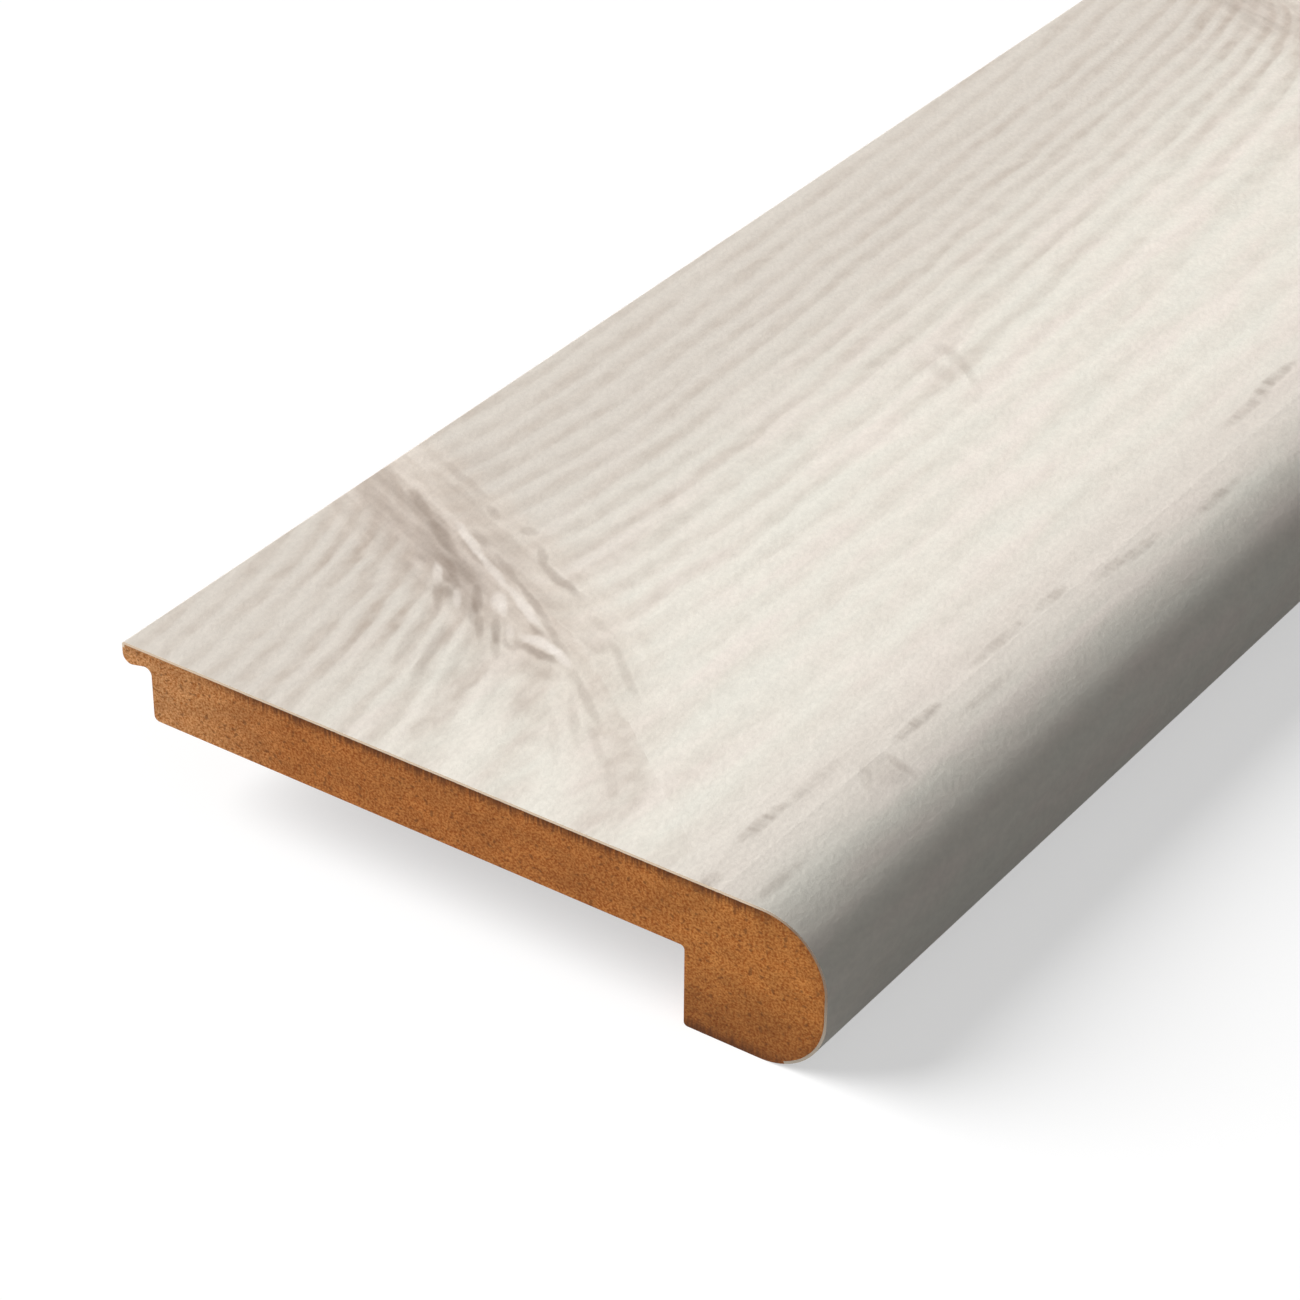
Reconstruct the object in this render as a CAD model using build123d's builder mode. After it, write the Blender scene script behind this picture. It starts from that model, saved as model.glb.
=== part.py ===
"""Flush stair nosing: a milled fibreboard core with a decor laminate wrapped over its face.

The stock lies along X. The rounded nose faces -Y, the thin lip that covers the
edge of the next floor board points to +Y, and the walking face is up. The
origin is under the middle of the stock, on the plane of the nose's foot.
"""

import os

from build123d import *

# Stock and deck, in millimetres
stock_length = 2000.0
overall_width = 114.3
deck_thickness = 10.9
deck_corner_radius = 0.85

# Nose that hangs over the edge of the step
nose_depth = 21.5
nose_drop = 12.6
front_flat_height = 3.5
foot_corner_radius = 0.6
step_corner_radius = 0.65

# Lip along the back edge, with a relief groove at its root
lip_reach = 5.0
lip_root_thickness = 2.45
lip_bead = 1.1
lip_edge_radius = 1.4
lip_root_radius = 1.1

# Decor laminate, let in flush with the core at both of its long edges
wrap_thickness = 0.4
wrap_inner_bend = 0.1
wrap_turned_flat = 0.4
wrap_stop_angle = 67.0

# Levels and places that follow from them
top_z = deck_thickness + nose_drop
front_y = -overall_width / 2
back_y = overall_width / 2
nose_back_y = front_y + nose_depth
deck_back_y = back_y - lip_reach
nose_radius = (top_z - front_flat_height) / 2
wrap_bend = wrap_inner_bend + wrap_thickness
wrap_edge_z = top_z - wrap_bend - wrap_turned_flat
section_plane = Plane.YZ.offset(-stock_length / 2)

# Corners of the whole section, each with the radius that rounds it
section_corners = [
    ((back_y, top_z), wrap_bend),
    ((front_y, top_z), nose_radius),
    ((front_y, 0), nose_radius),
    ((nose_back_y, 0), foot_corner_radius),
    ((nose_back_y, nose_drop), step_corner_radius),
    ((deck_back_y, nose_drop), deck_corner_radius),
    ((deck_back_y, top_z - lip_root_thickness), lip_root_radius),
    ((back_y, top_z - lip_root_thickness - lip_bead), lip_edge_radius),
]


# The laminate starts under the lip's back arris, runs over the deck and round the
# nose, and stops on the lower curve, clear of the foot
with BuildPart() as laminate_wrap:
    with BuildSketch(section_plane) as wrap_section:
        with BuildLine():
            lip_turn = Line((back_y, wrap_edge_z), (back_y, top_z - wrap_bend))
            CenterArc((back_y - wrap_bend, top_z - wrap_bend), wrap_bend, 0, 90)
            Line((back_y - wrap_bend, top_z), (front_y + nose_radius, top_z))
            CenterArc((front_y + nose_radius, top_z - nose_radius), nose_radius, 90, 90)
            Line((front_y, top_z - nose_radius), (front_y, nose_radius))
            CenterArc((front_y + nose_radius, nose_radius), nose_radius, 180, wrap_stop_angle)
            offset(amount=wrap_thickness, side=Side.LEFT)
        make_face()
    extrude(amount=stock_length)


# The core is milled to the whole section, less the bed that the laminate fills
with BuildPart() as mdf_core:
    with BuildSketch(section_plane):
        with BuildLine():
            corner_points = [point for point, radius in section_corners]
            corner_radii = [radius for point, radius in section_corners]
            FilletPolyline(*corner_points, radius=corner_radii, close=True)
        make_face()
        add(wrap_section.sketch_local, mode=Mode.SUBTRACT)
    extrude(amount=stock_length)


laminate_wrap.part.label = "laminate_wrap"
mdf_core.part.label = "mdf_core"

os.makedirs("parts", exist_ok=True)
export_step(laminate_wrap.part, "parts/laminate_wrap.step")
export_step(mdf_core.part, "parts/mdf_core.step")
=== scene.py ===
import math

import bmesh
import bpy
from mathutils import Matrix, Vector


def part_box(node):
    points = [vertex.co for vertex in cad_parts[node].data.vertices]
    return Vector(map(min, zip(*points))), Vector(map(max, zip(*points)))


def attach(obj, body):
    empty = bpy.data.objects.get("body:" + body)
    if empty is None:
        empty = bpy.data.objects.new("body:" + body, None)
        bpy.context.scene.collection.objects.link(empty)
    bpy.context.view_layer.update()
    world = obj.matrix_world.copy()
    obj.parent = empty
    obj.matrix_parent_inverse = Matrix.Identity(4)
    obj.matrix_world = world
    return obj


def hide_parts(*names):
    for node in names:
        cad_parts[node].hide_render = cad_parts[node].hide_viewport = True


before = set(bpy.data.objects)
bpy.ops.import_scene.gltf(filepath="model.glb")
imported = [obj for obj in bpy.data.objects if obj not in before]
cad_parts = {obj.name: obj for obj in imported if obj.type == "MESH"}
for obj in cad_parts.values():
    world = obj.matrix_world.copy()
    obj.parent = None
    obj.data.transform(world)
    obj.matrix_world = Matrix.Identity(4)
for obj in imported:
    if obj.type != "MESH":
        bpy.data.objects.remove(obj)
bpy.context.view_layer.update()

# A length of flush stair nosing: a milled fibreboard core and the decor laminate
# wrapped over its face. Metres, +X along the stock, -Y out of the nose, +Z up.

MM = 0.001

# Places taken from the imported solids
wrap_low, wrap_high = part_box("laminate_wrap")
core_low, core_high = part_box("mdf_core")
near_x, far_x = wrap_low[0], wrap_high[0]
front_y, back_y = wrap_low[1], wrap_high[1]
foot_z, top_z = core_low[2], wrap_high[2]
wrap_thickness = wrap_high[2] - core_high[2]

# The section's own sizes
nose_radius = 10.0 * MM
nose_depth = 21.5 * MM
foot_corner_radius = 0.6 * MM
step_corner_radius = 0.65 * MM
deck_thickness = 10.9 * MM
deck_corner_radius = 0.85 * MM
lip_reach = 5.0 * MM
lip_root_thickness = 2.45 * MM
lip_bead = 1.1 * MM
lip_edge_radius = 1.4 * MM
lip_root_radius = 1.1 * MM
wrap_inner_bend = 0.1 * MM
wrap_turned_flat = 0.4 * MM
wrap_stop_angle = 67.0

# How finely bends are drawn, in degrees, and how near counts as the same place
facet_angle = 3.75
crease_angle = 30.0
merge_distance = 0.005 * MM
edge_tolerance = 0.01 * MM

wrap_bend = wrap_inner_bend + wrap_thickness
nose_centre_y = front_y + nose_radius
upper_centre_z = top_z - nose_radius
lower_centre_z = foot_z + nose_radius
front_flat = upper_centre_z - lower_centre_z


# Modelling: a sheet over the whole length is drawn out edge by edge round the section

def open_sheet(name, y_low, y_high, z):
    """Add a plane over the stock's length and leave it in edit mode with nothing selected."""
    bpy.ops.object.select_all(action="DESELECT")
    middle = ((near_x + far_x) / 2, (y_low + y_high) / 2, z)
    bpy.ops.mesh.primitive_plane_add(size=1, location=middle)
    sheet = bpy.context.object
    sheet.name = name
    sheet.data.name = name
    sheet.scale = (far_x - near_x, y_high - y_low, 1)
    bpy.ops.object.transform_apply(location=True, rotation=True, scale=True)
    bpy.ops.object.mode_set(mode="EDIT")
    bpy.context.tool_settings.mesh_select_mode = (False, True, False)
    bpy.ops.mesh.select_all(action="DESELECT")
    return sheet


def pick_edges(sheet, wanted):
    """Select the edges whose middle is wanted, and no others."""
    bpy.ops.mesh.select_all(action="DESELECT")
    mesh = bmesh.from_edit_mesh(sheet.data)
    for edge in mesh.edges:
        middle = (edge.verts[0].co + edge.verts[1].co) / 2
        if wanted(middle):
            edge.select_set(True)
    bmesh.update_edit_mesh(sheet.data)


def start_pen(y, z, heading):
    """Where the edge being drawn out stands in the section, and its heading from +Y in degrees."""
    return {"y": y, "z": z, "heading": heading}


def draw_straight(pen, distance):
    """Extrude the selected edge straight on."""
    turn = math.radians(pen["heading"])
    step = Vector((0, math.cos(turn), math.sin(turn))) * distance
    bpy.ops.mesh.extrude_region_move(TRANSFORM_OT_translate={"value": step})
    pen["y"] += step.y
    pen["z"] += step.z


def draw_bend(pen, radius, degrees):
    """Spin the selected edge round a corner; a positive turn is to the left of its heading."""
    side = math.copysign(1, degrees)
    turn = math.radians(pen["heading"])
    centre_y = pen["y"] - math.sin(turn) * radius * side
    centre_z = pen["z"] + math.cos(turn) * radius * side
    steps = max(3, round(abs(degrees) / facet_angle))
    bpy.ops.mesh.spin(
        steps=steps, angle=math.radians(degrees), center=(0, centre_y, centre_z), axis=(-1, 0, 0))
    pen["heading"] += degrees
    turn = math.radians(pen["heading"])
    pen["y"] = centre_y + math.sin(turn) * radius * side
    pen["z"] = centre_z - math.cos(turn) * radius * side


def face_outwards(sheet):
    """Turn all faces the same way, with the broad upper face looking up."""
    bpy.ops.mesh.select_all(action="SELECT")
    bpy.ops.mesh.remove_doubles(threshold=merge_distance)
    bpy.ops.mesh.normals_make_consistent(inside=False)
    mesh = bmesh.from_edit_mesh(sheet.data)
    lip_root_z = top_z - lip_root_thickness
    upper_faces = [face for face in mesh.faces if face.calc_center_median().z > lip_root_z]
    broadest = max(upper_faces, key=lambda face: face.calc_area())
    if broadest.normal.z < 0:
        bpy.ops.mesh.flip_normals()


def make_wrap():
    """The decor laminate: one sheet from the lip's back edge over the deck and round the nose."""
    sheet = open_sheet("wrap_skin", nose_centre_y, back_y - wrap_bend, top_z)
    pick_edges(sheet, lambda middle: middle.y < nose_centre_y + edge_tolerance)
    pen = start_pen(nose_centre_y, top_z, 180)
    draw_bend(pen, nose_radius, 90)
    draw_straight(pen, front_flat)
    draw_bend(pen, nose_radius, wrap_stop_angle)
    pick_edges(sheet, lambda middle: middle.y > back_y - wrap_bend - edge_tolerance)
    pen = start_pen(back_y - wrap_bend, top_z, 0)
    draw_bend(pen, wrap_bend, -90)
    draw_straight(pen, wrap_turned_flat)
    face_outwards(sheet)
    bpy.ops.object.mode_set(mode="OBJECT")
    sheet.data.materials.append(decor_laminate())
    sheet.data.materials.append(laminate_edge())
    shell = sheet.modifiers.new("thickness", "SOLIDIFY")
    shell.thickness = wrap_thickness
    shell.offset = -1
    shell.use_even_offset = True
    shell.material_offset_rim = 1
    bpy.ops.object.modifier_apply(modifier=shell.name)
    bpy.ops.object.shade_smooth_by_angle(angle=math.radians(crease_angle))
    return sheet


def make_core():
    """The milled core: the whole section, let in by the laminate's thickness where that lies."""
    inner_radius = nose_radius - wrap_thickness
    core_top = top_z - wrap_thickness
    sheet = open_sheet("core_stock", nose_centre_y, back_y - wrap_bend, core_top)
    pick_edges(sheet, lambda middle: middle.y < nose_centre_y + edge_tolerance)
    pen = start_pen(nose_centre_y, core_top, 180)
    draw_bend(pen, inner_radius, 90)
    draw_straight(pen, front_flat)
    draw_bend(pen, inner_radius, wrap_stop_angle)
    # out to the foot past the laminate's edge
    pen["heading"] -= 90
    draw_straight(pen, wrap_thickness)
    pen["heading"] += 90
    draw_bend(pen, nose_radius, 90 - wrap_stop_angle)
    draw_straight(pen, nose_depth - nose_radius - foot_corner_radius)
    draw_bend(pen, foot_corner_radius, 90)
    # up the inner face and back along the underside
    underside_z = top_z - deck_thickness
    draw_straight(pen, underside_z - step_corner_radius - pen["z"])
    draw_bend(pen, step_corner_radius, -90)
    deck_back_y = back_y - lip_reach
    draw_straight(pen, deck_back_y - deck_corner_radius - pen["y"])
    draw_bend(pen, deck_corner_radius, 90)
    # the relief groove, the sloping underside of the lip and its rounded edge
    slope = math.degrees(math.atan2(lip_bead, lip_reach))
    corner_reach = math.tan(math.radians(90 + slope) / 2)
    draw_straight(pen, top_z - lip_root_thickness - lip_root_radius * corner_reach - pen["z"])
    draw_bend(pen, lip_root_radius, -90 - slope)
    slope_length = math.hypot(lip_bead, lip_reach)
    draw_straight(pen, slope_length - (lip_root_radius + lip_edge_radius) * corner_reach)
    draw_bend(pen, lip_edge_radius, 90 + slope)
    # up to the laminate, in behind it and back to the start
    draw_straight(pen, top_z - wrap_bend - wrap_turned_flat - pen["z"])
    pen["heading"] += 90
    draw_straight(pen, wrap_thickness)
    pen["heading"] -= 90
    draw_straight(pen, wrap_turned_flat)
    draw_bend(pen, wrap_inner_bend, 90)
    # the two cut ends
    bpy.ops.mesh.select_all(action="SELECT")
    bpy.ops.mesh.remove_doubles(threshold=merge_distance)
    for end_x in (near_x, far_x):
        pick_edges(sheet, lambda middle: abs(middle.x - end_x) < edge_tolerance)
        bpy.ops.mesh.edge_face_add()
    face_outwards(sheet)
    bpy.ops.object.mode_set(mode="OBJECT")
    bpy.ops.object.shade_smooth_by_angle(angle=math.radians(crease_angle))
    return sheet


def unrolled_distance(y, z):
    """How far a point of the laminate lies from the nose's front plane, once it is rolled out flat."""
    if y >= nose_centre_y:
        return y - front_y
    if z >= upper_centre_z:
        angle = math.atan2(nose_centre_y - y, z - upper_centre_z)
        return nose_radius - nose_radius * angle
    past_upper = nose_radius - nose_radius * math.pi / 2
    if z >= lower_centre_z:
        return past_upper - (upper_centre_z - z)
    angle = math.atan2(lower_centre_z - z, nose_centre_y - y)
    return past_upper - front_flat - nose_radius * angle


def roll_out(piece):
    """Give the piece a map of its decor: metres along the stock and across the rolled-out sheet."""
    decor_map = piece.data.uv_layers.new(name="decor_map")
    for loop in piece.data.loops:
        place = piece.data.vertices[loop.vertex_index].co
        decor_map.data[loop.index].uv = (place.x - near_x, unrolled_distance(place.y, place.z))


# Materials

def linear(hex_code, alpha=1.0):
    """An sRGB hex colour as linear RGBA."""
    channels = []
    for start in (1, 3, 5):
        value = int(hex_code[start:start + 2], 16) / 255
        channels.append(value / 12.92 if value <= 0.04045 else ((value + 0.055) / 1.055) ** 2.4)
    return (*channels, alpha)


def add_node(tree, kind, inputs=None, output=0, stops=None, **settings):
    """Add a node with its settings, inputs (values or sockets) and ramp stops; give one output.

    A Mix node has several inputs of one name, so they go by number: 2 and 3 are its plain
    values, 4 and 5 its vectors (output 1), and 6 and 7 its colours (output 2).
    """
    node = tree.nodes.new(kind)
    for name, value in settings.items():
        setattr(node, name, value)
    for key, value in (inputs or {}).items():
        if isinstance(value, bpy.types.NodeSocket):
            tree.links.new(value, node.inputs[key])
        else:
            node.inputs[key].default_value = value
    if stops:
        ramp = node.color_ramp
        while len(ramp.elements) < len(stops):
            ramp.elements.new(1.0)
        for element, (place, colour) in zip(ramp.elements, stops):
            element.position = place
            element.color = linear(colour) if isinstance(colour, str) else (colour, colour, colour, 1)
    return node.outputs[output]


def new_material(name):
    """Start an empty material; give it and its node tree."""
    material = bpy.data.materials.new(name)
    material.use_nodes = True
    material.node_tree.nodes.clear()
    return material, material.node_tree


def finish_material(tree, surface):
    """Send the shader to the material's output."""
    output = tree.nodes.new("ShaderNodeOutputMaterial")
    tree.links.new(surface, output.inputs["Surface"])


def sized_noise(tree, place, size, detail):
    """Noise from 0 to 1 whose grains have about this size in millimetres, in two or three directions."""
    directions = len(size)
    scale = [1 / length for length in size] + [1] * (3 - directions)
    scaled = add_node(tree, "ShaderNodeMapping", {"Vector": place, "Scale": scale})
    return add_node(tree, "ShaderNodeTexNoise", {"Vector": scaled, "Scale": 1.0, "Detail": detail},
                    noise_dimensions=f"{directions}D")


# The pine print, in millimetres along the stock and across the rolled-out sheet
print_width = 120.0
print_length_even = 250.0
print_shift_uneven = 260.0
print_wander_length = 330.0
knot_spacing = 232.0
knot_middle = 35.0
knot_middle_across = 61.0
knot_blunt_tip = 2.0
print_repeat = 3 * knot_spacing
ring_spacing_back = 4.6
ring_spacing_front = 7.0
ring_change_across = 52.0
ring_drift = 5.0

# Knots: how far they lean along for each millimetre across, and how strong each one is
knot_lean_above = 0.415
knot_lean_below = 0.80
first_knot_strength = 0.95
knot_strength_step = 0.7

# Growth rings, as a share of one ring: where they start and how ragged they are
ring_start = 0.405
ring_raggedness = 0.55

# Grain sizes of the print, in millimetres along and across
drift_size = (170, 60)
ragged_size = (20, 4)
patch_size = (30, 6)
bead_size = (4.2, 2.6)
cloud_size = (24, 6)
streak_size = (3.2, 15)
pore_size = (1.7, 7.0)

# The pressed crepe and its height. The real one is finer; this is as coarse as it needs to show.
crepe_size = (1.0, 0.7)
ripple_size = (3.6, 1.8)
crepe_height = 0.04 * MM
easing_height = 3.0 * MM

# Grain sizes of the fibreboard, in millimetres along, across and down, and the grains' height.
# Real fibres are about 0.1 mm thick; these are as coarse as they need to show.
fibre_size = (1.4, 0.36, 0.29)
fleck_size = (1.3, 0.85, 0.6)
blotch_size = (30, 5, 2.5)
fringe_size = (1.5, 0.38, 4)
fibre_height = 0.02 * MM

# Strokes of the print, by their lean in degrees from the stock's length. Each has its
# middle (along, across), half length, half width and tone, which is dark below zero.
knot_strokes = {
    59: [
        (48.0, 91.4, 6.0, 0.9, 0.85),
        (43.6, 84.3, 6.0, 0.8, 0.75),
        (38.2, 74.6, 6.5, 0.9, 0.95),
        (31.9, 64.2, 4.2, 0.9, 0.80),
        (40.1, 74.6, 6.0, 0.75, -0.60),
        (44.8, 82.6, 5.5, 0.7, -0.30),
        (35.2, 67.6, 5.0, 0.7, -0.40),
        (49.6, 91.0, 2.8, 0.9, -0.40),
        (52.0, 103.6, 4.4, 1.0, -0.62),
        (49.6, 98.6, 4.5, 1.2, -0.35),
        (46.6, 95.4, 5.5, 1.1, -0.50),
        (41.3, 90.8, 4.0, 1.2, -0.55),
        (39.6, 90.0, 3.0, 0.6, 0.25),
        (38.2, 87.4, 2.8, 1.1, -0.65),
        (40.4, 86.5, 6.0, 2.8, -0.36),
        (48.0, 86.0, 8.5, 3.4, -0.28),
        (46.5, 104.5, 7.0, 3.0, -0.18),
        (35.2, 70.6, 2.2, 0.8, -0.50),
        (56.0, 93.6, 2.2, 0.9, -0.35),
        (36.3, 61.3, 3.0, 2.2, -0.20),
        (65.0, 104.0, 6.0, 5.0, -0.12),
    ],
    70: [
        (47.2, 75.6, 4.6, 1.1, -0.55),
        (45.6, 71.6, 2.6, 0.9, -0.25),
        (61.0, 102.5, 7.5, 1.0, -0.28),
        (58.0, 101.0, 6.5, 0.9, -0.22),
        (33.8, 13.8, 5.0, 3.0, -0.20),
        (36.0, 12.4, 3.6, 0.9, -0.30),
        (41.0, 64.2, 3.4, 0.9, -0.18),
    ],
    84: [
        (30.8, 66.6, 3.4, 1.3, -0.68),
        (30.4, 71.0, 2.2, 1.4, -0.45),
        (32.6, 68.0, 4.0, 1.3, 1.00),
        (27.0, 64.5, 4.5, 1.6, -0.16),
        (55.0, 86.4, 1.8, 1.3, -0.35),
    ],
    38: [
        (34.0, 86.6, 4.6, 0.8, -0.55),
        (35.2, 85.9, 1.6, 1.0, -0.50),
        (38.4, 90.0, 3.6, 0.8, 0.65),
        (36.2, 81.4, 4.2, 0.9, -0.68),
        (37.4, 78.6, 3.2, 1.3, 0.80),
        (36.2, 77.0, 2.2, 0.8, 0.45),
        (34.9, 83.9, 3.2, 0.7, 0.55),
        (31.4, 74.6, 3.4, 0.8, -0.62),
        (30.6, 76.8, 3.6, 0.7, -0.50),
        (32.0, 72.6, 2.6, 0.7, 0.50),
        (33.0, 79.6, 4.0, 0.8, -0.45),
        (28.6, 72.6, 3.2, 0.8, -0.40),
        (50.0, 80.4, 2.8, 0.9, -0.45),
        (31.0, 14.6, 3.2, 1.0, -0.22),
        (20.3, 53.4, 7.5, 0.9, -0.24),
        (14.6, 52.5, 6.5, 0.9, -0.18),
        (12.0, 41.5, 7.0, 0.9, -0.16),
    ],
    50: [
        (24.8, 54.4, 6.5, 0.9, -0.32),
        (33.6, 54.8, 8.0, 0.9, -0.30),
        (17.0, 47.4, 6.5, 0.9, -0.22),
    ],
    20: [
        (19.5, 66.3, 9.0, 1.1, -0.18),
        (19.0, 61.6, 8.0, 1.1, -0.14),
        (22.0, 74.6, 9.0, 1.1, -0.25),
        (22.0, 78.7, 9.0, 1.2, -0.42),
        (23.0, 83.0, 8.0, 1.1, -0.25),
    ],
}
fleck_strokes = {
    52: [
        (131.0, 61.5, 7.5, 1.5, -0.26),
        (128.0, 63.5, 4.0, 1.8, -0.18),
        (134.5, 66.5, 2.4, 2.0, -0.22),
        (129.0, 60.5, 3.0, 0.9, 0.40),
    ],
}
resin_strokes = {
    0: [
        (1.0, 18.4, 2.4, 1.2, -0.60),
        (6.0, 11.3, 6.6, 1.0, -0.30),
        (14.8, 20.1, 6.0, 1.15, -0.58),
        (26.4, 19.7, 8.2, 1.1, -0.30),
        (46.0, 16.1, 6.0, 1.15, -0.72),
        (57.5, 12.4, 7.6, 1.0, -0.28),
        (69.0, 17.4, 8.6, 1.1, -0.42),
        (82.5, 17.3, 4.6, 1.15, -0.42),
        (94.5, 14.6, 5.2, 1.1, -0.34),
        (101.0, 13.8, 5.8, 1.15, -0.38),
        (119.5, 11.8, 7.0, 1.1, -0.44),
        (145.0, 20.5, 8.2, 1.1, -0.42),
        (155.0, 21.5, 7.6, 1.15, -0.60),
        (176.0, 18.0, 7.6, 1.1, -0.50),
        (187.0, 19.4, 5.2, 1.1, -0.38),
        (206.0, 14.6, 6.8, 1.1, -0.50),
        (214.0, 20.8, 7.4, 1.1, -0.42),
        (238.0, 17.0, 8.8, 1.1, -0.50),
        (262.0, 12.8, 5.8, 1.1, -0.40),
        (281.0, 19.6, 8.2, 1.15, -0.50),
    ],
}


def add_strokes(tree, place, total, strokes_by_lean):
    """Add to the total the tone of soft strokes, long ovals that fade out towards their edges."""
    for lean, strokes in strokes_by_lean.items():
        turn = math.radians(lean)
        turned = add_node(tree, "ShaderNodeMapping", {"Vector": place, "Rotation": (0, 0, -turn)})
        for along, across, half_length, half_width, tone in strokes:
            middle_along = along * math.cos(turn) + across * math.sin(turn)
            middle_across = across * math.cos(turn) - along * math.sin(turn)
            local = add_node(tree, "ShaderNodeVectorMath", {
                0: turned,
                1: (1 / half_length, 1 / half_width, 0),
                2: (-middle_along / half_length, -middle_across / half_width, 0)},
                operation="MULTIPLY_ADD")
            reach = add_node(tree, "ShaderNodeVectorMath", {0: local, 1: local}, output="Value",
                             operation="DOT_PRODUCT")
            stroke = add_node(tree, "ShaderNodeMapRange", {
                "Value": reach, "From Max": 1.3, "To Min": tone, "To Max": 0.0},
                interpolation_type="SMOOTHSTEP")
            total = add_node(tree, "ShaderNodeMath", {0: stroke, 1: total}, operation="ADD")
    return total


def knot_pull(tree, distance, height, reach):
    """How far, in millimetres, a knot lifts the growth rings at this distance from its axis."""
    spread = add_node(tree, "ShaderNodeMath", {0: distance, 1: knot_blunt_tip}, operation="ADD")
    spread = add_node(tree, "ShaderNodeMath", {0: reach, 1: spread}, operation="DIVIDE")
    spread = add_node(tree, "ShaderNodeMath", {0: spread, 1: 1.0}, operation="ADD")
    lift = add_node(tree, "ShaderNodeMath", {0: spread, 1: math.e}, operation="LOGARITHM")
    return add_node(tree, "ShaderNodeMath", {0: lift, 1: height}, operation="MULTIPLY")


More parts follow.
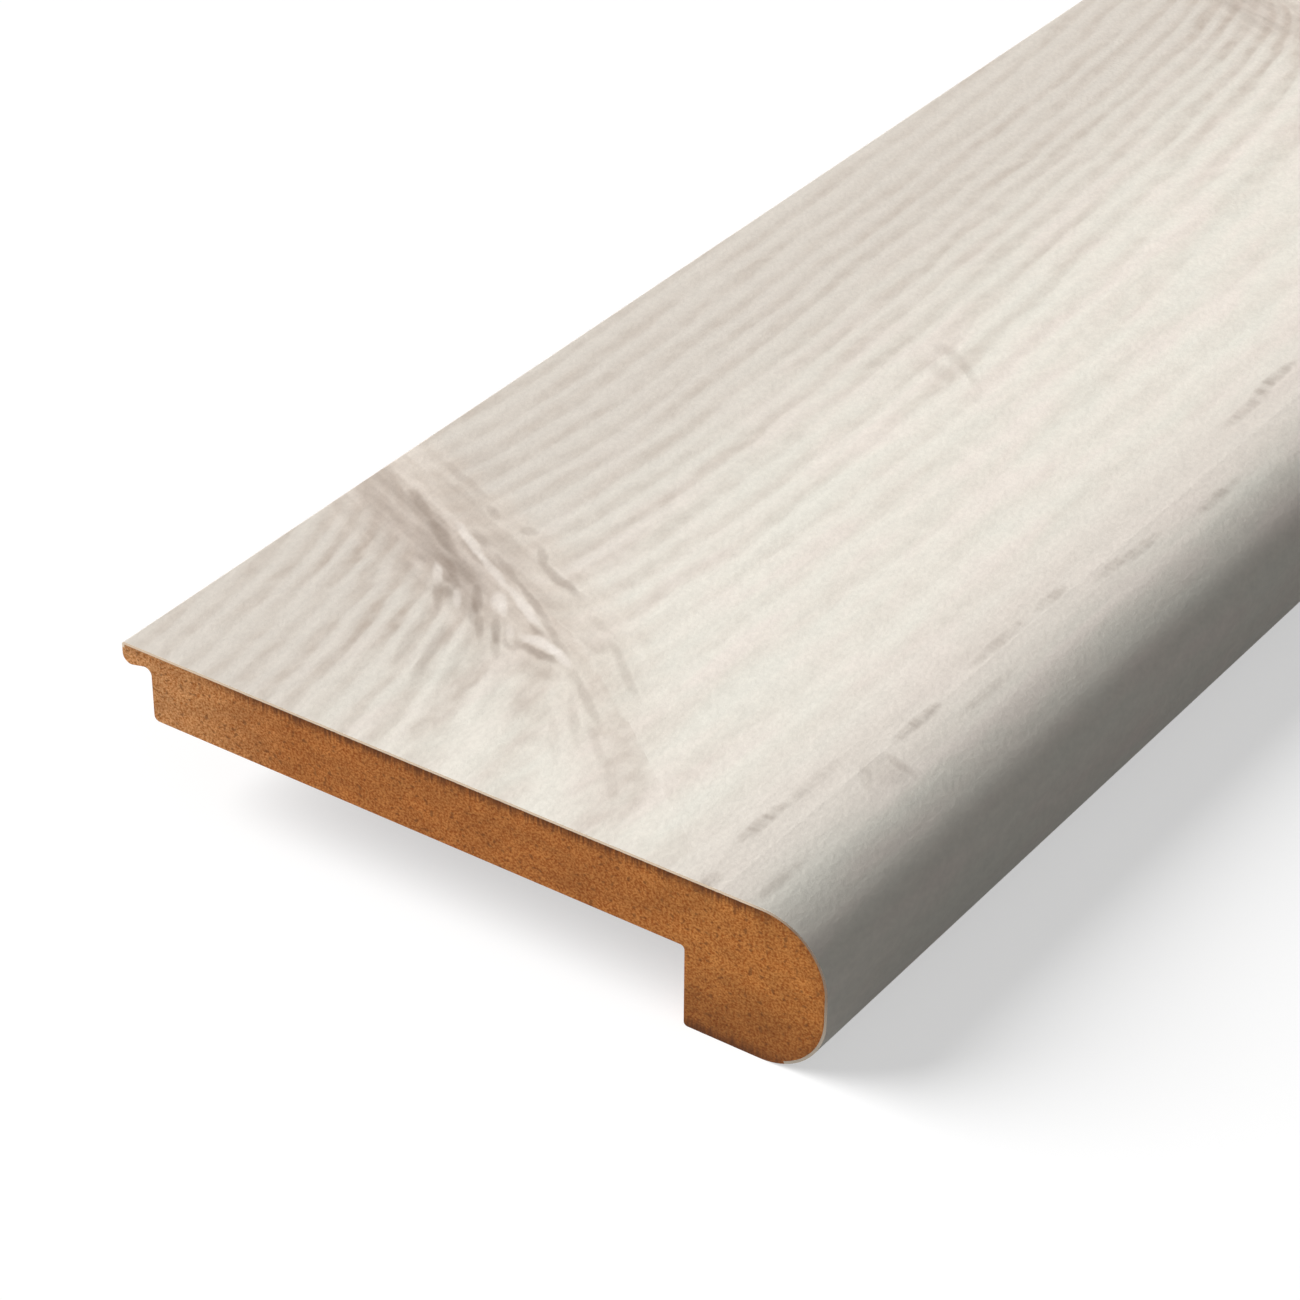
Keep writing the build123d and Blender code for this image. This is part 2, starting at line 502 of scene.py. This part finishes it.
def decor_laminate():
    """Decor laminate: a whitewashed pine print under clear melamine, pressed with a fine crepe."""
    material, tree = new_material("whitewashed_pine_laminate")
    sheet = add_node(tree, "ShaderNodeUVMap", uv_map="decor_map")
    place = add_node(tree, "ShaderNodeVectorMath", {0: sheet, "Scale": 1 / MM}, operation="SCALE")
    along = add_node(tree, "ShaderNodeSeparateXYZ", {0: place})
    across = along.node.outputs["Y"]

    # past the second knot the whorls come at uneven distances
    uneven = add_node(tree, "ShaderNodeMapRange", {
        "Value": along, "From Min": print_length_even, "From Max": 2 * print_length_even,
        "To Max": print_shift_uneven}, interpolation_type="SMOOTHSTEP")
    wander = add_node(tree, "ShaderNodeTexNoise", {
        "W": along, "Scale": 1 / print_wander_length, "Detail": 0.0}, noise_dimensions="1D")
    wander = add_node(tree, "ShaderNodeMath", {0: wander, 1: 0.5}, operation="SUBTRACT")
    along = add_node(tree, "ShaderNodeMath", {0: wander, 1: uneven, 2: along}, operation="MULTIPLY_ADD")
    place = add_node(tree, "ShaderNodeCombineXYZ", {0: along, 1: across})

    # where the nearest knots' leaning axes are
    drift = sized_noise(tree, place, drift_size, 1.0)
    ragged = sized_noise(tree, place, ragged_size, 2.0)
    above = add_node(tree, "ShaderNodeMath", {0: across, 1: knot_middle_across}, operation="SUBTRACT")
    below = add_node(tree, "ShaderNodeMath", {0: above, 1: 0.0}, operation="MINIMUM")
    lean = add_node(tree, "ShaderNodeMath", {
        0: above, 1: -knot_lean_above, 2: along}, operation="MULTIPLY_ADD")
    lean = add_node(tree, "ShaderNodeMath", {
        0: below, 1: knot_lean_above - knot_lean_below, 2: lean}, operation="MULTIPLY_ADD")
    lean = add_node(tree, "ShaderNodeMath", {0: lean, 1: knot_middle}, operation="SUBTRACT")
    since_knot = add_node(tree, "ShaderNodeMath", {0: lean, 1: knot_spacing, 2: 0.0}, operation="WRAP")
    to_knot = add_node(tree, "ShaderNodeMath", {0: knot_spacing, 1: since_knot}, operation="SUBTRACT")
    number = add_node(tree, "ShaderNodeMath", {0: lean, 1: knot_spacing}, operation="DIVIDE")
    number = add_node(tree, "ShaderNodeMath", {0: number}, operation="FLOOR")
    strengths = []
    for ahead in (first_knot_strength, first_knot_strength + knot_strength_step):
        turn = add_node(tree, "ShaderNodeMath", {
            0: number, 1: knot_strength_step, 2: ahead}, operation="MULTIPLY_ADD")
        strengths.append(add_node(tree, "ShaderNodeMath", {0: turn}, operation="FRACT"))
    last_strength, next_strength = strengths

    # growth rings, lifted towards each knot and crowded at the back
    lift_after = knot_pull(tree, since_knot, height=4.0, reach=25.0)
    lift_after = add_node(tree, "ShaderNodeMath", {
        0: lift_after, 1: last_strength}, operation="MULTIPLY")
    lift_before = knot_pull(tree, to_knot, height=7.0, reach=45.0)
    rise = add_node(tree, "ShaderNodeMapRange", {
        "Value": to_knot, "From Min": 195.0, "From Max": 0.0, "To Max": 19.0})
    lift_before = add_node(tree, "ShaderNodeMath", {0: lift_before, 1: rise}, operation="ADD")
    lift = add_node(tree, "ShaderNodeMath", {
        0: lift_before, 1: next_strength, 2: lift_after}, operation="MULTIPLY_ADD")
    grown = add_node(tree, "ShaderNodeMapRange", {"Value": across, "From Min": 25.0, "From Max": 78.0},
                     interpolation_type="SMOOTHSTEP")
    lift = add_node(tree, "ShaderNodeMath", {0: lift, 1: grown}, operation="MULTIPLY")
    level = add_node(tree, "ShaderNodeMath", {0: across, 1: lift}, operation="SUBTRACT")
    level = add_node(tree, "ShaderNodeMath", {
        0: drift, 1: ring_drift, 2: level}, operation="MULTIPLY_ADD")
    crowded = add_node(tree, "ShaderNodeMath", {0: level, 1: ring_change_across}, operation="SUBTRACT")
    crowded = add_node(tree, "ShaderNodeMath", {0: crowded, 1: 0.0}, operation="MAXIMUM")
    rings = add_node(tree, "ShaderNodeMath", {
        0: level, 1: 1 / ring_spacing_front, 2: ring_start}, operation="MULTIPLY_ADD")
    rings_more = 1 / ring_spacing_back - 1 / ring_spacing_front
    rings = add_node(tree, "ShaderNodeMath", {
        0: crowded, 1: rings_more, 2: rings}, operation="MULTIPLY_ADD")
    rings = add_node(tree, "ShaderNodeMath", {
        0: ragged, 1: ring_raggedness, 2: rings}, operation="MULTIPLY_ADD")
    ring = add_node(tree, "ShaderNodeMath", {0: rings}, operation="FRACT")
    late_wood = add_node(tree, "ShaderNodeValToRGB", {0: ring}, stops=[
        (0.0, 0.85), (0.16, 0.4), (0.38, 0.0), (0.54, 0.15), (0.74, 0.9), (0.86, 1.0), (1.0, 0.85)])
    late_wood.node.color_ramp.interpolation = "EASE"
    height = add_node(tree, "ShaderNodeMath", {0: across, 1: print_width}, operation="DIVIDE")
    zone = add_node(tree, "ShaderNodeValToRGB", {0: height}, stops=[
        (0.0, 0.1), (0.14, 0.15), (0.24, 0.35), (0.42, 0.45), (0.56, 0.8), (0.75, 1.0), (0.95, 0.9)])
    patchy = sized_noise(tree, place, patch_size, 2.0)
    patchy = add_node(tree, "ShaderNodeMapRange", {
        "Value": patchy, "From Min": 0.3, "From Max": 0.7, "To Min": 0.4, "To Max": 1.05})
    line = add_node(tree, "ShaderNodeMath", {0: late_wood, 1: zone}, operation="MULTIPLY")
    line = add_node(tree, "ShaderNodeMath", {0: line, 1: patchy}, operation="MULTIPLY")
    # they are pressed together, and so darker, just before a knot
    pressed = add_node(tree, "ShaderNodeMapRange", {
        "Value": to_knot, "From Min": 40.0, "From Max": 5.0, "To Min": 1.0, "To Max": 2.1})
    line = add_node(tree, "ShaderNodeMath", {0: line, 1: pressed}, operation="MULTIPLY")
    beads = sized_noise(tree, place, bead_size, 1.0)
    beads = add_node(tree, "ShaderNodeMapRange", {
        "Value": beads, "From Min": 0.3, "From Max": 0.7, "To Min": 0.72, "To Max": 1.3})
    line = add_node(tree, "ShaderNodeMath", {0: line, 1: beads}, operation="MULTIPLY")

    # whitewash: cream in soft patches; pinker and a little darker along the nose, the darkening there
    # being painted shade of the nose's roll; darker and greyer towards the back, painted shade
    cloud = sized_noise(tree, place, cloud_size, 2.0)
    wash = add_node(tree, "ShaderNodeValToRGB", {0: cloud}, stops=[
        (0.3, "#EBE7DC"), (0.5, "#EDE7DC"), (0.7, "#EFE6DC")])
    # a pink tint together with painted shade, strongest 15 to 21 mm across, just before the nose's bend
    nose_tint_and_shade = add_node(tree, "ShaderNodeMapRange", {"Value": across, "From Max": 30.0})
    nose_tint_and_shade = add_node(tree, "ShaderNodeValToRGB", {0: nose_tint_and_shade}, stops=[
        (0.30, 0.0), (0.50, 0.65), (0.70, 0.65), (0.90, 0.0)])
    wash = add_node(tree, "ShaderNodeMix", {0: nose_tint_and_shade, 6: wash, 7: linear("#ECE2D8")}, output=2,
                    data_type="RGBA")
    # painted shade: the flat deck turns darker and greyer towards the back
    back_shade = add_node(tree, "ShaderNodeMapRange", {
        "Value": across, "From Min": 56.0, "From Max": 100.0, "To Max": 0.92},
        interpolation_type="SMOOTHSTEP")
    colour = add_node(tree, "ShaderNodeMix", {0: back_shade, 6: wash, 7: linear("#D8D0C6")}, output=2,
                      data_type="RGBA")
    line_share = add_node(tree, "ShaderNodeMath", {0: line, 1: 0.47}, operation="MULTIPLY")
    colour = add_node(tree, "ShaderNodeMix", {0: line_share, 6: colour, 7: linear("#BBADA0")}, output=2,
                      data_type="RGBA")

    # the knots' own wood, darkest just before the axis and streaked along it
    nearest = add_node(tree, "ShaderNodeMath", {0: since_knot, 1: to_knot}, operation="LESS_THAN")
    strength = add_node(tree, "ShaderNodeMix", {0: nearest, 2: next_strength, 3: last_strength})
    offset = add_node(tree, "ShaderNodeMath", {0: to_knot, 1: -1.0}, operation="MULTIPLY")
    offset = add_node(tree, "ShaderNodeMix", {0: nearest, 2: offset, 3: since_knot})
    fray = add_node(tree, "ShaderNodeMath", {0: ragged, 1: 7.0, 2: offset}, operation="MULTIPLY_ADD")
    fray = add_node(tree, "ShaderNodeMapRange", {"Value": fray, "From Min": -14.0, "From Max": 22.0})
    body = add_node(tree, "ShaderNodeValToRGB", {0: fray}, stops=[
        (0.0, 0.0), (0.16, 0.5), (0.30, 1.0), (0.45, 1.0), (0.60, 0.75), (0.71, 0.55), (0.86, 0.0)])
    body.node.color_ramp.interpolation = "EASE"
    shade = add_node(tree, "ShaderNodeValToRGB", {0: fray}, stops=[
        (0.12, 0.5), (0.28, 1.0), (0.44, 0.85), (0.60, 0.15), (0.8, 0.0)])
    presence = add_node(tree, "ShaderNodeValToRGB", {0: height}, stops=[
        (0.30, 0.0), (0.42, 0.35), (0.52, 0.60), (0.62, 0.85), (0.75, 1.0), (0.95, 0.9)])
    heart = add_node(tree, "ShaderNodeValToRGB", {0: height}, stops=[
        (0.50, 0.0), (0.62, 0.35), (0.71, 0.9), (0.80, 0.85), (0.92, 0.6)])
    body_share = add_node(tree, "ShaderNodeMath", {0: body, 1: strength}, operation="MULTIPLY")
    body_share = add_node(tree, "ShaderNodeMath", {0: body_share, 1: presence}, operation="MULTIPLY")
    dark_share = add_node(tree, "ShaderNodeMath", {0: shade, 1: heart}, operation="MULTIPLY")
    axis_place = add_node(tree, "ShaderNodeCombineXYZ", {0: lean, 1: across})
    streak = sized_noise(tree, axis_place, streak_size, 2.0)
    knot_light = add_node(tree, "ShaderNodeValToRGB", {0: streak}, stops=[
        (0.3, "#CDBFB2"), (0.5, "#DACDC0"), (0.7, "#E8DCD0")])
    knot_dark = add_node(tree, "ShaderNodeValToRGB", {0: streak}, stops=[
        (0.3, "#A3958A"), (0.5, "#B8AA9F"), (0.7, "#D0C3B8")])
    knot_wood = add_node(tree, "ShaderNodeMix", {
        0: dark_share, 6: knot_light, 7: knot_dark}, output=2, data_type="RGBA")
    colour = add_node(tree, "ShaderNodeMix", {0: body_share, 6: colour, 7: knot_wood}, output=2,
                      data_type="RGBA")

    # single strokes of the print, a little ragged, and resin canals broken into pores
    sway = add_node(tree, "ShaderNodeMath", {0: ragged, 1: 0.5}, operation="SUBTRACT")
    sway = add_node(tree, "ShaderNodeCombineXYZ", {0: sway, 1: sway})
    repeat = add_node(tree, "ShaderNodeMath", {0: along, 1: print_repeat, 2: 0.0}, operation="WRAP")
    repeat_place = add_node(tree, "ShaderNodeCombineXYZ", {0: repeat, 1: across})
    stroke_place = add_node(tree, "ShaderNodeVectorMath", {0: sway, 1: (2.4, 1.8, 0), 2: repeat_place},
                            operation="MULTIPLY_ADD")
    pores = sized_noise(tree, place, pore_size, 1.0)
    pores = add_node(tree, "ShaderNodeMapRange", {
        "Value": pores, "From Min": 0.35, "From Max": 0.65, "To Min": 0.45, "To Max": 1.1})
    tone = add_strokes(tree, repeat_place, 0.0, resin_strokes)
    tone = add_node(tree, "ShaderNodeMath", {0: tone, 1: pores}, operation="MULTIPLY")
    tone = add_strokes(tree, stroke_place, tone, {**knot_strokes, **fleck_strokes})
    darker = add_node(tree, "ShaderNodeMath", {0: tone, 1: -0.7}, operation="MULTIPLY", use_clamp=True)
    lighter = add_node(tree, "ShaderNodeMath", {0: tone, 1: 0.75}, operation="MULTIPLY", use_clamp=True)
    colour = add_node(tree, "ShaderNodeMix", {0: darker, 6: colour, 7: linear("#8B7A6D")}, output=2,
                      data_type="RGBA")
    colour = add_node(tree, "ShaderNodeMix", {0: lighter, 6: colour, 7: linear("#F1E8DF")}, output=2,
                      data_type="RGBA")

    # pressed crepe: a fine speckle in the colour and in the surface
    crepe = sized_noise(tree, place, crepe_size, 2.0)
    speckle = add_node(tree, "ShaderNodeMapRange", {
        "Value": crepe, "From Min": 0.3, "From Max": 0.7, "To Min": 0.97, "To Max": 1.025})
    ripple = sized_noise(tree, place, ripple_size, 1.0)
    ripple = add_node(tree, "ShaderNodeMapRange", {
        "Value": ripple, "From Min": 0.3, "From Max": 0.7, "To Min": 0.975, "To Max": 1.02})
    speckle = add_node(tree, "ShaderNodeMath", {0: speckle, 1: ripple}, operation="MULTIPLY")
    colour = add_node(tree, "ShaderNodeVectorMath", {0: colour, "Scale": speckle}, operation="SCALE")
    # the sheet starts to turn down a little before the nose's bend
    easing = add_node(tree, "ShaderNodeMapRange", {"Value": across, "From Min": 4.0, "From Max": 33.0})
    easing = add_node(tree, "ShaderNodeValToRGB", {0: easing}, stops=[
        (0.0, 0.0), (0.07, 0.045), (0.14, 0.155), (0.21, 0.34), (0.28, 0.52),
        (0.35, 0.645), (0.42, 0.735), (0.55, 0.87), (0.72, 0.965), (0.9, 1.0)])
    easing.node.color_ramp.interpolation = "B_SPLINE"
    easing = add_node(tree, "ShaderNodeMath", {0: easing, 1: easing_height}, operation="MULTIPLY")
    relief = add_node(tree, "ShaderNodeMath", {
        0: crepe, 1: crepe_height, 2: easing}, operation="MULTIPLY_ADD")
    bump = add_node(tree, "ShaderNodeBump", {"Height": relief, "Distance": 1.0, "Strength": 1.0})
    surface = add_node(tree, "ShaderNodeBsdfPrincipled", {
        "Base Color": colour, "Roughness": 0.6, "Specular IOR Level": 0.22, "Normal": bump})
    finish_material(tree, surface)
    return material


def laminate_edge():
    """Sawn edge of decor laminate: its paper core with painted light on it, pale along the deck, partly
    a painted highlight, and dark round the bend, painted shade of the nose's roll.
    """
    material, tree = new_material("laminate_sawn_edge")
    sheet = add_node(tree, "ShaderNodeUVMap", uv_map="decor_map")
    across = add_node(tree, "ShaderNodeSeparateXYZ", {0: sheet}, output="Y")
    height = add_node(tree, "ShaderNodeMapRange", {
        "Value": across, "From Min": -20 * MM, "From Max": 20 * MM})
    # painted light and shade on the paper core: dark round the upper bend as painted shade, pale along
    # the deck partly as a painted highlight
    paper = add_node(tree, "ShaderNodeValToRGB", {0: height}, stops=[
        (0.20, "#B3A797"), (0.36, "#8C7A68"), (0.62, "#8A7562"), (0.80, "#F2DBC0")])
    surface = add_node(tree, "ShaderNodeBsdfPrincipled", {"Base Color": paper, "Roughness": 0.7})
    finish_material(tree, surface)
    return material


def milled_fibreboard():
    """Medium-density fibreboard, machined: bare pressed wood fibre with darker, harder pressed faces."""
    material, tree = new_material("milled_mdf")
    spot = add_node(tree, "ShaderNodeTexCoord", output="Object")
    spot = add_node(tree, "ShaderNodeVectorMath", {
        0: spot, 1: (0, front_y, top_z)}, operation="SUBTRACT")
    spot = add_node(tree, "ShaderNodeVectorMath", {0: spot, "Scale": 1 / MM}, operation="SCALE")
    depth = add_node(tree, "ShaderNodeSeparateXYZ", {0: spot}, output="Z")
    inward = depth.node.outputs["Y"]

    # distance in from the pressed faces: the top, the nose's front and the foot
    bend = nose_radius / MM
    bend_and_flat = (nose_radius + front_flat) / MM
    over_front = add_node(tree, "ShaderNodeMath", {0: inward, 1: bend}, operation="SUBTRACT")
    over_front = add_node(tree, "ShaderNodeMath", {0: over_front, 1: 0.0}, operation="MINIMUM")
    over_top = add_node(tree, "ShaderNodeMath", {0: depth, 1: bend}, operation="ADD")
    over_top = add_node(tree, "ShaderNodeMath", {0: over_top, 1: 0.0}, operation="MAXIMUM")
    over_foot = add_node(tree, "ShaderNodeMath", {0: depth, 1: bend_and_flat}, operation="ADD")
    over_foot = add_node(tree, "ShaderNodeMath", {0: over_foot, 1: 0.0}, operation="MINIMUM")
    over_level = add_node(tree, "ShaderNodeMath", {0: over_top, 1: over_foot}, operation="ADD")
    corner = add_node(tree, "ShaderNodeCombineXYZ", {0: over_front, 1: over_level})
    corner = add_node(tree, "ShaderNodeVectorMath", {0: corner}, output="Value", operation="LENGTH")
    skin_depth = add_node(tree, "ShaderNodeMath", {0: bend, 1: corner}, operation="SUBTRACT")

    # fibre: paler at the back, darker low in the nose, with fine grains, flecks and soft blotches
    set_in = add_node(tree, "ShaderNodeMapRange", {"Value": inward, "From Max": 115.0})
    fibre = add_node(tree, "ShaderNodeValToRGB", {0: set_in}, stops=[
        (0.0, "#BC7535"), (0.16, "#BC7637"), (0.3, "#B46E33"),
        (0.74, "#B66F34"), (0.88, "#C9884F"), (1.0, "#CF915A")])
    low = add_node(tree, "ShaderNodeMapRange", {
        "Value": depth, "From Min": -11.0, "From Max": -21.0, "To Max": 0.75},
        interpolation_type="SMOOTHSTEP")
    fibre = add_node(tree, "ShaderNodeMix", {0: low, 6: fibre, 7: linear("#8E5424")}, output=2,
                     data_type="RGBA")
    blotch = sized_noise(tree, spot, blotch_size, 2.0)
    blotch = add_node(tree, "ShaderNodeMapRange", {
        "Value": blotch, "From Min": 0.3, "From Max": 0.7, "To Min": 0.88, "To Max": 1.12})
    grain = sized_noise(tree, spot, fibre_size, 2.0)
    grain = add_node(tree, "ShaderNodeMapRange", {"Value": grain, "From Min": 0.3, "From Max": 0.7})
    grain_tint = add_node(tree, "ShaderNodeMix", {
        0: grain, 4: (0.66, 0.46, 0.22), 5: (1.34, 1.56, 1.90)}, output=1, data_type="VECTOR")
    fibre = add_node(tree, "ShaderNodeVectorMath", {0: fibre, 1: grain_tint}, operation="MULTIPLY")
    fibre = add_node(tree, "ShaderNodeVectorMath", {0: fibre, "Scale": blotch}, operation="SCALE")
    fleck = sized_noise(tree, spot, fleck_size, 0.0)
    fleck = add_node(tree, "ShaderNodeMapRange", {
        "Value": fleck, "From Min": 0.66, "From Max": 0.78, "To Max": 0.6})
    fibre = add_node(tree, "ShaderNodeMix", {0: fleck, 6: fibre, 7: linear("#6B3D1A")}, output=2,
                     data_type="RGBA")

    # the pressed skins, ragged at their inner edge; milling has taken them off round the nose
    fringe = sized_noise(tree, spot, fringe_size, 2.0)
    fringe = add_node(tree, "ShaderNodeMapRange", {
        "Value": fringe, "From Min": 0.3, "From Max": 0.7, "To Min": -0.6, "To Max": 0.6})
    ragged_depth = add_node(tree, "ShaderNodeMath", {0: skin_depth, 1: fringe}, operation="ADD")
    skin = add_node(tree, "ShaderNodeMapRange", {
        "Value": ragged_depth, "From Min": 0.4, "From Max": 2.2, "To Min": 0.9, "To Max": 0.0},
        interpolation_type="SMOOTHSTEP")
    kept = add_node(tree, "ShaderNodeMapRange", {
        "Value": inward, "From Min": 4.0, "From Max": 14.0, "To Min": 0.25},
        interpolation_type="SMOOTHSTEP")
    near_lip = add_node(tree, "ShaderNodeMapRange", {
        "Value": inward, "From Min": 104.0, "From Max": 86.0, "To Min": 0.15},
        interpolation_type="SMOOTHSTEP")
    kept = add_node(tree, "ShaderNodeMath", {0: kept, 1: near_lip}, operation="MULTIPLY")

    # they are strongest on the two saw cuts, where the blade has scorched them
    cut_end = far_x / MM
    from_middle = add_node(tree, "ShaderNodeMath", {0: depth.node.outputs["X"]}, operation="ABSOLUTE")
    sawn = add_node(tree, "ShaderNodeMapRange", {
        "Value": from_middle, "From Min": cut_end - 1.0, "From Max": cut_end - 0.2, "To Min": 0.3})
    kept = add_node(tree, "ShaderNodeMath", {0: kept, 1: sawn}, operation="MULTIPLY")
    skin = add_node(tree, "ShaderNodeMath", {0: skin, 1: kept}, operation="MULTIPLY")
    colour = add_node(tree, "ShaderNodeMix", {0: skin, 6: fibre, 7: linear("#6E3E1C")}, output=2,
                      data_type="RGBA")
    scorch = add_node(tree, "ShaderNodeMapRange", {
        "Value": ragged_depth, "From Min": 0.2, "From Max": 0.9, "To Min": 0.5, "To Max": 0.0},
        interpolation_type="SMOOTHSTEP")
    scorch = add_node(tree, "ShaderNodeMath", {0: scorch, 1: kept}, operation="MULTIPLY")
    colour = add_node(tree, "ShaderNodeMix", {0: scorch, 6: colour, 7: linear("#4E2B14")}, output=2,
                      data_type="RGBA")

    relief = add_node(tree, "ShaderNodeMath", {0: grain, 1: fibre_height}, operation="MULTIPLY")
    bump = add_node(tree, "ShaderNodeBump", {"Height": relief, "Distance": 1.0, "Strength": 1.0})
    surface = add_node(tree, "ShaderNodeBsdfPrincipled", {
        "Base Color": colour, "Roughness": 0.85, "Specular IOR Level": 0.3, "Normal": bump})
    finish_material(tree, surface)
    return material


def seen_directly(tree):
    """1 where the camera sees a surface, itself or in a reflection; 0 where that only sends light on."""
    seen = add_node(tree, "ShaderNodeLightPath", output="Is Camera Ray")
    light_path = seen.node
    seen = add_node(tree, "ShaderNodeMath", {
        0: seen, 1: light_path.outputs["Is Glossy Ray"]}, operation="MAXIMUM")
    return add_node(tree, "ShaderNodeMath", {
        0: seen, 1: light_path.outputs["Is Transmission Ray"]}, operation="MAXIMUM")


def studio_floor():
    """Matt paper lit from behind: white to the eye, with a soft shadow, and dim grey as a light."""
    material, tree = new_material("studio_floor_paper")
    shown = seen_directly(tree)
    colour = add_node(tree, "ShaderNodeMix", {0: shown, 6: linear("#707070"), 7: (0.5, 0.5, 0.5, 1)},
                      output=2, data_type="RGBA")
    paper = add_node(tree, "ShaderNodeBsdfDiffuse", {"Color": colour})
    glow = add_node(tree, "ShaderNodeMath", {0: shown, 1: 0.52}, operation="MULTIPLY")
    glow = add_node(tree, "ShaderNodeEmission", {"Strength": glow})
    finish_material(tree, add_node(tree, "ShaderNodeAddShader", {0: paper, 1: glow}))
    return material


# Stage, light and camera

floor_width = 60.0
camera_place = (-1.34706, -0.27301, 0.33096)
camera_turn = (56.923, -0.234, -54.862)
camera_lens = 115.52


def set_stage():
    """The pale floor that the nose's foot stands on."""
    bpy.ops.object.select_all(action="DESELECT")
    bpy.ops.mesh.primitive_plane_add(size=floor_width, location=(0, 0, foot_z))
    floor = bpy.context.object
    floor.name = "studio_floor"
    floor.data.materials.append(studio_floor())


def add_softbox(name, come_from, strength, spread):
    """A distant soft lamp: where its light comes from, its strength and its width in degrees."""
    light = bpy.data.lights.new(name, "SUN")
    light.energy = strength
    light.angle = math.radians(spread)
    lamp = bpy.data.objects.new(name, light)
    lamp.rotation_euler = Vector(come_from).to_track_quat("Z", "Y").to_euler()
    bpy.context.scene.collection.objects.link(lamp)


def set_light():
    """A dim, even room that is seen as white, one large lamp behind the lip and a faint one in front."""
    world = bpy.data.worlds.new("studio_world")
    bpy.context.scene.world = world
    world.use_nodes = True
    tree = world.node_tree
    tree.nodes.clear()
    strength = add_node(tree, "ShaderNodeMapRange", {
        "Value": seen_directly(tree), "To Min": 0.11, "To Max": 1.0})
    sky = add_node(tree, "ShaderNodeBackground", {"Color": (1, 1, 1, 1), "Strength": strength})
    output = tree.nodes.new("ShaderNodeOutputWorld")
    tree.links.new(sky, output.inputs["Surface"])
    add_softbox("key_softbox", (-0.365, 0.735, 0.57), 4.7, 50)
    add_softbox("front_fill", (-0.25, -0.78, 0.6), 0.2, 70)


def set_camera():
    """The camera that was fitted to the photograph."""
    lens = bpy.data.cameras.new("product_camera")
    lens.sensor_width = 36
    lens.lens = camera_lens
    lens.clip_start = 0.01
    lens.clip_end = 100
    camera = bpy.data.objects.new("product_camera", lens)
    camera.location = camera_place
    camera.rotation_euler = [math.radians(angle) for angle in camera_turn]
    bpy.context.scene.collection.objects.link(camera)
    bpy.context.scene.camera = camera


wrap = make_wrap()
roll_out(wrap)
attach(wrap, "root")
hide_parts("laminate_wrap")

core = make_core()
core.data.materials.append(milled_fibreboard())
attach(core, "root")
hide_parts("mdf_core")

set_stage()
set_light()
set_camera()
view = bpy.context.scene.view_settings
view.view_transform = "Standard"
